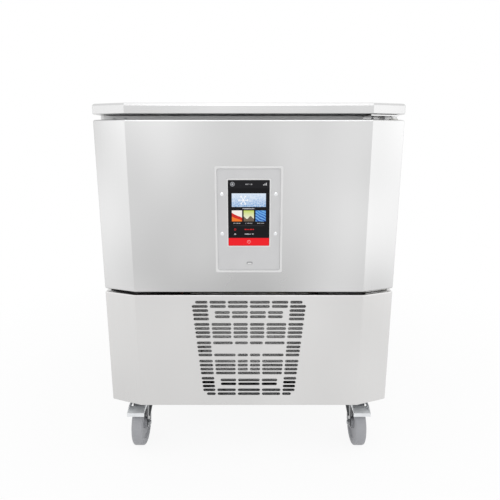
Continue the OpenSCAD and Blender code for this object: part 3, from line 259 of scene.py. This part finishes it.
def aluminium_fins(name):
    """A coil's fin pack: fin edges a couple of millimetres apart painted bright between darker stripes,
    as painted highlight and shade, and painted brighter rows for light falling through the panel's
    slots.
    """
    make = Finish(name)
    x, _, _ = make.axes(make.place((FIN_RATE, 0, 0)))
    edge = abs(x % 1.0 - 0.5) * 2.0
    _, _, row = make.axes(make.place((1, 1, 1 / TUBE_PITCH), at=(0, 0, TUBE_LEVEL)))
    painted_light_rows = (1.0 - abs((row + 0.5) % 1.0 - 0.5) * 4.0).math("MAXIMUM", 0.0)
    dirt = make.noise(make.place((60, 60, 30)), detail=3.0)
    return make.surface({
        # the fin edges and the rows are painted highlight and shade in the fins' colour
        "Base Color": make.mix(edge * 0.5 + painted_light_rows * 0.4 + dirt * 0.2, grey(0.42), grey(0.97)),
        "Metallic": 0.3,
        "Roughness": 0.46 + dirt * 0.2,
        "Normal": make.bump(edge, 0.3, 0.0006)})


def copper(name):
    """Drawn copper, with the darker bloom of brazing here and there."""
    make = Finish(name)
    bloom = make.noise(make.place((22, 22, 22)), detail=3.0)
    return make.surface({
        "Base Color": make.mix(bloom, rgb(150, 84, 58), rgb(226, 150, 112)),
        "Metallic": 1.0,
        "Roughness": 0.24 + bloom * 0.2})


def rubber_seal(name, tone):
    """Extruded gasket rubber, matt and slightly dusty."""
    make = Finish(name)
    dust = make.noise(make.place((90, 90, 90)), detail=4.0)
    return make.surface({
        "Base Color": make.mix(dust, grey(tone * 0.8), grey(tone * 1.5)),
        "Roughness": 0.62 + dust * 0.15,
        "Normal": make.bump(dust, 0.08, 0.0003)})


SCREEN_FOOT = 0.6155  # metres, height of the page's lower edge
SCREEN_FACE = -0.3992  # metres, where the glass lies


def screen_page(name):
    """The display's page: a status bar, one wide and three small tiles, two rows and a red bar.

    All sizes are in millimetres from the middle of the screen's lower edge. Rows of words are
    broken noise and spell nothing.
    """
    make = Finish(name)
    u, depth, v = make.axes(make.place((1000, 1000, 1000), at=(0, 0, SCREEN_FOOT)))

    def block(left, low, right, high):
        return (u > left) * (u < right) * (v > low) * (v < high)

    def disc(x, z, radius):
        return ((u - x) * (u - x) + (v - z) * (v - z)).math("SQRT") < radius

    def wash(low, high, first, second):
        """A colour that turns from the first to the second between two heights."""
        share = make.node("ShaderNodeMapRange", {},
                          {"Value": v, "From Min": low, "From Max": high})
        return make.mix(share, first, second)

    frost = make.node("ShaderNodeTexVoronoi", {"feature": "DISTANCE_TO_EDGE"},
                      {"Vector": make.place((1, 1, 1)), "Scale": 190.0})
    haze = make.noise(make.place((60, 60, 60)), detail=3.0)
    flake_u = u + 14
    flake_v = v - 117
    turn = flake_v.math("ARCTAN2", flake_u)
    sixth = abs((turn / (math.pi / 3) + 0.5) % 1.0 - 0.5)
    reach = (flake_u * flake_u + flake_v * flake_v).math("SQRT")
    arms = (sixth * reach < 0.75) * (reach < 13)
    barbs = (abs(reach - 8.5 - sixth * 14) < 0.8) * (sixth < 0.24)
    sky = wash(100, 134, rgb(126, 168, 214), rgb(214, 228, 244))
    sky = make.mix((frost < 0.09) * 0.5, sky, rgb(236, 243, 250))
    sky = make.mix(arms.math("MAXIMUM", barbs), sky, rgb(255, 255, 255))
    fall = 76 + (u + 30) * -0.45 + haze * 5
    warm = make.mix(v < fall, rgb(244, 238, 232), rgb(206, 44, 34))
    warm = make.mix(v < fall - 8, warm, rgb(240, 122, 40))
    hill = 70 + (u * 0.35).math("SINE") * 3 + haze * 6
    field = make.mix(v < hill, wash(70, 92, rgb(236, 232, 214), rgb(196, 214, 92)),
                     rgb(112, 98, 82))
    stripes = ((u * 0.6 + v + haze * 12) % 7.0) > 3.4
    deep = make.mix(stripes, wash(62, 92, rgb(30, 62, 160), rgb(66, 128, 206)),
                    rgb(110, 172, 226))
    words = make.noise(make.place((900, 1, 160)), detail=1.0) > 0.44
    red, pink, label = rgb(214, 34, 38), rgb(252, 190, 190), rgb(176, 176, 178)
    layers = [
        (v > 147, rgb(25, 25, 27)),
        (block(-9, 155.2, 9, 158.2) * words, rgb(150, 150, 152)),
        (block(-43, 100, 43, 134), sky),
        (block(-43, 63, -17, 91), warm), (block(-13, 63, 13, 91), field),
        (block(17, 63, 43, 91), deep),
        (block(-16, 94.4, 16, 96.6) * words, rgb(196, 196, 198)),
        ((abs(abs(u) - 30) < 9) * (v > 57.2) * (v < 59.2) * words, label),
        (block(-9, 57.2, 9, 59.2) * words, label),
        (block(-40, 51.6, 40, 52.2), rgb(70, 70, 73)),
        (block(-11, 41, 13, 43.6) * words, red),
        (disc(-35, 42.3, 2.6) - disc(-35, 42.3, 1.7), red),
        (block(-11, 29, 13, 31.6) * words, rgb(188, 188, 190)),
        (block(-37.6, 28.6, -32.4, 29.8) + block(-36.6, 30.6, -33.4, 31.8), rgb(214, 214, 216)),
        (v < 20, rgb(237, 28, 36)),
        (disc(0, 10, 4.4) - disc(0, 10, 3.7), pink),
        (block(-0.5, 10, 0.5, 12.6), pink),
        (disc(-41, 157, 5.4) - disc(-41, 157, 4.2) + disc(-41, 157, 2.4), rgb(176, 178, 182)),
        (block(36, 154, 38, 156.4) + block(39.4, 154, 41.4, 158.4)
         + block(42.8, 154, 44.8, 160.4), rgb(206, 206, 208)),
    ]
    page = rgb(15, 15, 16)
    for mask, colour in layers:
        page = make.mix(mask, page, colour)
    on_glass = depth < SCREEN_FACE / MM + 0.3
    lit = make.mix(on_glass, (0, 0, 0, 1), page)
    return make.surface({
        "Base Color": (0.005, 0.005, 0.006, 1), "Roughness": 0.09, "Specular IOR Level": 0.08,
        "Emission Color": lit, "Emission Strength": 1.0})


SLOT_FINISH = {
    "stainless": brushed_steel("satin_stainless", 0.67),
    "stainless_bright": brushed_steel("bright_stainless", 0.72, rough=0.24),
    "zinc": zinc_sheet("galvanised_sheet", 0.55),
    "caster_zinc": plated_steel("plated_pressings", 0.46),
    "board": zinc_sheet("foil_faced_board", 0.72),
    "foam": foam_board("polyurethane_foam", rgb(232, 214, 158)),
    "gasket": rubber_seal("gasket_rubber", 0.030),
    "bezel": moulded_plastic("bezel_plastic", rgb(212, 212, 213), rough=0.34, coat=0.15),
    "screen": screen_page("screen_page"),
    "dark_plastic": moulded_plastic("dark_plastic", rgb(48, 49, 52), rough=0.45),
    "white_plastic": moulded_plastic("white_plastic", rgb(226, 226, 220), rough=0.40),
    "fan": moulded_plastic("fan_plastic", rgb(44, 45, 48), rough=0.42),
    "motor": moulded_plastic("motor_enamel", rgb(78, 81, 86), rough=0.36, coat=0.3),
    "black_enamel": moulded_plastic("black_enamel", rgb(22, 22, 24), rough=0.28, coat=0.5),
    "fins": aluminium_fins("aluminium_fins"),
    "copper": copper("drawn_copper"),
    "enclosure": moulded_plastic("grey_enclosure", rgb(196, 198, 199), rough=0.42),
    "grey_rubber": caster_rubber("caster_rubber", rgb(171, 172, 176)),
    "plug_rubber": rubber_seal("plug_rubber", 0.012),
}
PANEL_STEEL = brushed_steel("service_panel_stainless", 0.69, warmth=0.008)
# the door's painted reflection is stronger, and its noise is moved until its painted light and dark
# patches lie as in the photograph
DOOR_STEEL = brushed_steel("door_stainless", 0.65, painted_reflection_amount=1.7, at=(-5.59, 0, 12.44))
WORKTOP_STEEL = brushed_steel("worktop_stainless", 0.69, along=(1, 0, 0), rough=0.26)
FRAME_STEEL = brushed_steel("frame_stainless", 0.60, rough=0.36)
SCREW_STEEL = plated_steel("polished_screws", 0.88, rough=0.12)
# the forks' plating is painted dark, a painted dark reflection of the shaded underside round them
FORK_STEEL_PAINTED_DARK = plated_steel("plated_forks_painted_dark_reflection", 0.24, rough=0.16)
# the pedals' plating is painted pale and half metallic, a painted highlight where the plates catch
# bright light
PEDAL_STEEL_PAINTED_PALE = plated_steel("plated_pedals_painted_highlight", 0.86, rough=0.34, metallic=0.45)
PALE_PLASTIC_PAINTED_HIGHLIGHT = moulded_plastic("pale_rim_plastic_painted_highlight", rgb(231, 231, 231), rough=0.28, coat=0.3)
WELL_PAINTED_SHADE = moulded_plastic("connector_well_painted_shade", rgb(150, 150, 152), rough=0.5)
NODE_FINISH = {"worktop": WORKTOP_STEEL, "service_panel": PANEL_STEEL, "door_skin": DOOR_STEEL,
               "front_frame": FRAME_STEEL, "bezel_screws": SCREW_STEEL,
               "brake_fl": PEDAL_STEEL_PAINTED_PALE, "brake_fr": PEDAL_STEEL_PAINTED_PALE}
NODE_FINISH.update({node: FORK_STEEL_PAINTED_DARK for node in NODES if node.startswith("caster_fork")})


# ---------------------------------------------------------------- pieces from the frame

def cleaned(node):
    """A copy of a CAD node's mesh, with its loose triangles joined and its flat faces whole."""
    form = bmesh.new()
    form.from_mesh(NODES[node].data)
    bmesh.ops.remove_doubles(form, verts=form.verts, dist=2e-6)
    bmesh.ops.dissolve_limit(form, angle_limit=math.radians(0.4), verts=form.verts,
                             edges=form.edges, delimit={"NORMAL"})
    return form


def piece(form, name, material, body, sharp=32.0, edge=0.0, nodes=()):
    """Makes a finished object of a form: smooth where it curves, with its sharp edges eased."""
    for face in form.faces:
        face.smooth = True
    for seam in form.edges:
        turn = seam.calc_face_angle(math.pi) if len(seam.link_faces) == 2 else math.pi
        seam.smooth = edge > 0 or turn < math.radians(sharp)
    mesh = bpy.data.meshes.new(name)
    form.to_mesh(mesh)
    form.free()
    made = bpy.data.objects.new(name, mesh)
    bpy.context.scene.collection.objects.link(made)
    mesh.materials.append(material)
    if edge > 0:
        ease = made.modifiers.new("eased_edges", "BEVEL")
        ease.width = edge
        ease.segments = 2
        ease.limit_method = "ANGLE"
        ease.angle_limit = math.radians(sharp)
        ease.harden_normals = True
        ease.use_clamp_overlap = True
    level = made.modifiers.new("flat_faces", "WEIGHTED_NORMAL")
    level.mode = "FACE_AREA"
    level.weight = 100
    level.keep_sharp = True
    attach(made, body)
    if nodes:
        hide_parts(*nodes)
    return made


def refined(node, edge):
    """A CAD node with smooth curves, its sharp edges eased by edge millimetres."""
    slot = SLOT_OF[node]
    finish = NODE_FINISH.get(node, SLOT_FINISH[slot])
    return piece(cleaned(node), node + "_finished", finish, BODY_OF[node],
                 edge=edge * MM, nodes=(node,))


# ---------------------------------------------------------------- control panel

UPRIGHT = Matrix.Rotation(math.pi / 2, 3, "X")  # stands a level sheet up to face the front
DOOR_FACE = -0.396  # metres; all else in this section is in millimetres
BEZEL = (85.75, 544.0, 816.5)  # half width, foot and top of the bezel
SCREEN = (52.3, 615.2, 782.8)  # the same of the screen's opening
SCREW_X = 68.0
SCREW_LEVELS = (646.5, 747.5)
SCREW_PAD = 10.4  # width of the raised pad round a screw
RIM = 6.0  # width of the bezel's rim, painted pale as a highlight
SCREEN_RIM = 3.6  # width of the frame round the screen
RIM_PROUD = 4  # how far both stand in front of the door
LONGEST_CORNER_EDGE = 20  # a ring's edges across its corners are shorter than this


def grown(frame_size, by):
    """A frame's half width, foot and top, made larger all round."""
    return (frame_size[0] + by, frame_size[1] - by, frame_size[2] + by)


def moulded_ring(rings, corner=0.0):
    """A closed ring through rectangles of half width, foot, top and depth in front of the door."""
    form = bmesh.new()
    quad = bmesh.ops.create_grid(form, x_segments=1, y_segments=1, size=0.01)
    bmesh.ops.rotate(form, cent=(0, 0, 0), matrix=UPRIGHT, verts=quad["verts"])
    inner = form.faces[:][0]
    for step, (half, foot, top, proud) in enumerate(rings):
        if step:
            bmesh.ops.inset_individual(form, faces=[inner], thickness=0.1 * MM)
        middle = inner.calc_center_median().z
        for vert in inner.verts:
            vert.co = (math.copysign(half * MM, vert.co.x), DOOR_FACE - proud * MM,
                       (top if vert.co.z > middle else foot) * MM)
    bmesh.ops.delete(form, geom=[inner], context="FACES_ONLY")
    bmesh.ops.bridge_loops(form, edges=[seam for seam in form.edges if seam.is_boundary])
    if corner > 0:
        turns = [seam for seam in form.edges
                 if seam.verts[0].co.x * seam.verts[1].co.x > 0
                 and abs(seam.verts[0].co.z - seam.verts[1].co.z) < LONGEST_CORNER_EDGE * MM]
        bmesh.ops.bevel(form, geom=turns, offset=corner * MM, affect="EDGES", segments=4,
                        profile=0.5, material=-1)
    bmesh.ops.recalc_face_normals(form, faces=form.faces)
    return form


def add_pad(form, x, z, width, height, proud, corner):
    """A pad with round corners that stands on the door's face."""
    made = bmesh.ops.create_cube(form, size=1.0)["verts"]
    bmesh.ops.scale(form, vec=(width * MM, proud * MM, height * MM), verts=made)
    bmesh.ops.translate(form, vec=(x * MM, DOOR_FACE - proud * MM / 2, z * MM), verts=made)
    upright = [seam for seam in form.edges if seam.verts[0] in made and seam.verts[1] in made
               and abs(seam.verts[0].co.y - seam.verts[1].co.y) > proud * MM / 2]
    bmesh.ops.bevel(form, geom=upright, offset=corner * MM, affect="EDGES", segments=5,
                    profile=0.5, material=-1)


def control_panel():
    """The bezel's rim and the screen's frame, painted paler than the bezel as a painted highlight, its
    facets, and the connector's pale cover on a grey plate that stands for its well as painted shade.
    """
    edge_in = grown(BEZEL, -RIM)
    frame_out = grown(SCREEN, SCREEN_RIM)
    edge = moulded_ring([(*BEZEL, 0), (*BEZEL, 3.2), (*grown(BEZEL, -0.9), RIM_PROUD),
                         (*grown(BEZEL, -4.6), RIM_PROUD), (*edge_in, 2.6), (*edge_in, 0)], corner=4)
    for x in (-SCREW_X, SCREW_X):
        for z in SCREW_LEVELS:
            add_pad(edge, x, z, SCREW_PAD, SCREW_PAD, proud=3.0, corner=5.19)
    # the rim's pale plastic is a painted highlight for the light a raised rim catches
    piece(edge, "bezel_edge", PALE_PLASTIC_PAINTED_HIGHLIGHT, "door", edge=0.35 * MM, nodes=("control_bezel",))
    facets = moulded_ring([(*edge_in, 0), (*edge_in, 1.0), (*frame_out, 3.9), (*frame_out, 0)])
    piece(facets, "bezel_facets", SLOT_FINISH["bezel"], "door")
    frame_ring = moulded_ring([(*frame_out, 0), (*frame_out, 3.7), (*grown(frame_out, -0.5), RIM_PROUD),
                               (*grown(SCREEN, 0.5), RIM_PROUD), (*SCREEN, 3.7), (*SCREEN, 0)],
                              corner=1.5)
    piece(frame_ring, "screen_frame", PALE_PLASTIC_PAINTED_HIGHLIGHT, "door", edge=0.2 * MM)
    # a grey plate stands where the connector's recess would be, painted shade round the cover
    well = bmesh.new()
    add_pad(well, x=2, z=569, width=15, height=7.2, proud=2.3, corner=3)
    piece(well, "connector_well", WELL_PAINTED_SHADE, "door", edge=0.2 * MM)
    cover = bmesh.new()
    add_pad(cover, x=2, z=568, width=11, height=3.8, proud=3.2, corner=1.5)
    piece(cover, "connector_cover", PALE_PLASTIC_PAINTED_HIGHLIGHT, "door", edge=0.3 * MM)


# ---------------------------------------------------------------- condenser

FIN_PACK_WIDTH = 337 * MM
FIN_PACK_FOOT = 173 * MM
FIN_PACK_TOP = 449 * MM
FIN_PACK_FRONT = -286 * MM
FIN_PLEAT = 4 * MM  # from ridge to ridge
FIN_RISE = 1.6 * MM  # of a ridge over its valleys
FIN_SHEET = 0.3 * MM


def fin_pack():
    """The condenser's fins as a finely pleated face, which shows through the panel's slots."""
    columns = 2 * round(FIN_PACK_WIDTH / FIN_PLEAT)
    form = bmesh.new()
    sheet = bmesh.ops.create_grid(form, x_segments=columns, y_segments=1, size=0.5)["verts"]
    bmesh.ops.scale(form, vec=(FIN_PACK_WIDTH, FIN_PACK_TOP - FIN_PACK_FOOT, 1), verts=sheet)
    bmesh.ops.rotate(form, cent=(0, 0, 0), matrix=UPRIGHT, verts=sheet)
    bmesh.ops.translate(form, vec=(0, FIN_PACK_FRONT, (FIN_PACK_FOOT + FIN_PACK_TOP) / 2), verts=sheet)
    ridges = [vert for vert in sheet if round((vert.co.x / FIN_PACK_WIDTH + 0.5) * columns) % 2]
    bmesh.ops.translate(form, vec=(0, -FIN_RISE, 0), verts=ridges)
    bmesh.ops.solidify(form, geom=form.faces[:], thickness=FIN_SHEET)
    bmesh.ops.recalc_face_normals(form, faces=form.faces)
    piece(form, "condenser_fin_pack", SLOT_FINISH["fins"], "cabinet", sharp=20)


# ---------------------------------------------------------------- studio

LAMPS = [  # name, place, aim, width, height, brightness
    ("front", (0, -2.7, 2.5), (0, -0.4, 0.5), 1.8, 1.0, 1.3),
    ("overhead", (0, -0.6, 2.8), (0, 0, 0.6), 2.4, 1.8, 0.38),
    ("left", (-2.0, -0.9, 0.8), (0, 0, 0.5), 1.8, 2.2, 0.22),
    ("right", (2.0, -0.9, 0.8), (0, 0, 0.5), 1.8, 2.2, 0.29),
    ("rear", (0, 2.6, 1.8), (0, 0, 0.5), 2.0, 1.6, 0.4),
]
MATT_SURROUND = 0.78  # the surround's strength for matt surfaces, where 1 is its white
FLOOR_NEAR = (0.7, 0.90)  # distance from the middle in metres, and the floor's whiteness up to there
FLOOR_FAR = (1.6, 1.0)  # the same from where on the floor is all white
FLOOR_HALF = 12.0  # metres


def surround():
    """A surround that is white to the camera and in reflections, and dimmer to matt surfaces."""
    world = bpy.data.worlds.new("studio_surround")
    bpy.context.scene.world = world
    world.use_nodes = True
    tree = world.node_tree
    tree.nodes.clear()
    rays = tree.nodes.new("ShaderNodeLightPath")
    level = tree.nodes.new("ShaderNodeMapRange")
    level.inputs["To Min"].default_value = MATT_SURROUND
    level.inputs["To Max"].default_value = 1.0
    seen = rays.outputs["Is Camera Ray"]
    for kind in ("Is Glossy Ray", "Is Transmission Ray"):
        either = tree.nodes.new("ShaderNodeMath")
        either.operation = "MAXIMUM"
        tree.links.new(seen, either.inputs[0])
        tree.links.new(rays.outputs[kind], either.inputs[1])
        seen = either.outputs[0]
    tree.links.new(seen, level.inputs["Value"])
    sky = tree.nodes.new("ShaderNodeBackground")
    sky.inputs["Color"].default_value = (1, 1, 1, 1)
    tree.links.new(level.outputs[0], sky.inputs["Strength"])
    end = tree.nodes.new("ShaderNodeOutputWorld")
    tree.links.new(sky.outputs[0], end.inputs["Surface"])


def lamp(name, at, aim, width, height, brightness):
    """A soft box. brightness is what it adds to the surround behind it, whose white is 1."""
    data = bpy.data.lights.new(name, "AREA")
    data.energy = brightness * 4 * width * height
    data.shape = "RECTANGLE"
    data.size = width
    data.size_y = height
    made = bpy.data.objects.new(name, data)
    made.location = at
    made.rotation_euler = (Vector(aim) - Vector(at)).to_track_quat("-Z", "Y").to_euler()
    bpy.context.scene.collection.objects.link(made)


def floor():
    """A floor that is mostly white to the camera and keeps some of the object's shadow near it."""
    make = Finish("studio_floor")
    tone = make.noise(make.place((2, 2, 2)), detail=2.0)
    ground = make.node("ShaderNodeBsdfDiffuse", {}, {
        "Color": make.mix(tone, grey(0.92), grey(0.94))})
    white = make.node("ShaderNodeEmission", {}, {"Color": (1, 1, 1, 1), "Strength": 1.0})
    radius = make.node("ShaderNodeVectorMath", {"operation": "LENGTH"}, {0: make.place()}, out=1)
    fade = make.node("ShaderNodeMapRange", {}, {
        "Value": radius, "From Min": FLOOR_NEAR[0], "From Max": FLOOR_FAR[0],
        "To Min": FLOOR_NEAR[1], "To Max": FLOOR_FAR[1]})
    rays = [make.node("ShaderNodeLightPath", out=kind)
            for kind in ("Is Camera Ray", "Is Glossy Ray", "Is Transmission Ray")]
    shown = make.node("ShaderNodeMixShader", {},
                      {0: rays[0].math("MAXIMUM", rays[1]).math("MAXIMUM", rays[2]) * fade,
                       1: ground, 2: white})
    make.node("ShaderNodeOutputMaterial", {}, {"Surface": shown})
    form = bmesh.new()
    bmesh.ops.create_grid(form, x_segments=1, y_segments=1, size=FLOOR_HALF)
    mesh = bpy.data.meshes.new("studio_floor")
    form.to_mesh(mesh)
    form.free()
    mesh.materials.append(make.material)
    made = bpy.data.objects.new("studio_floor", mesh)
    bpy.context.scene.collection.objects.link(made)


def camera():
    """The photograph's view: a little below the worktop, looking slightly down."""
    tilt = 13.06  # degrees below level
    data = bpy.data.cameras.new("camera")
    data.sensor_width = 36.0
    data.lens = 33.44
    made = bpy.data.objects.new("camera", data)
    made.location = (0.003, -1.565, 0.8744)
    made.rotation_euler = (math.radians(90 - tilt), 0, 0)
    bpy.context.scene.collection.objects.link(made)
    bpy.context.scene.camera = made


# ---------------------------------------------------------------- the object

EASED = {  # millimetres by which a node's sharp edges are eased
    "worktop": 0.3, "side_panel_left": 0.3, "side_panel_right": 0.3,
    "door_skin": 0.3, "door_liner": 0.3, "chamber_liner": 0.3,
    "hinge_bracket_top": 0.4, "hinge_bracket_bottom": 0.4,
}

camera()
surround()
floor()
for soft_box in LAMPS:
    lamp(*soft_box)

for node in NODES:
    if node != "control_bezel":  # control_panel() makes this one anew
        refined(node, EASED.get(node, 0.0))
control_panel()
fin_pack()

bpy.context.scene.view_settings.view_transform = "Standard"
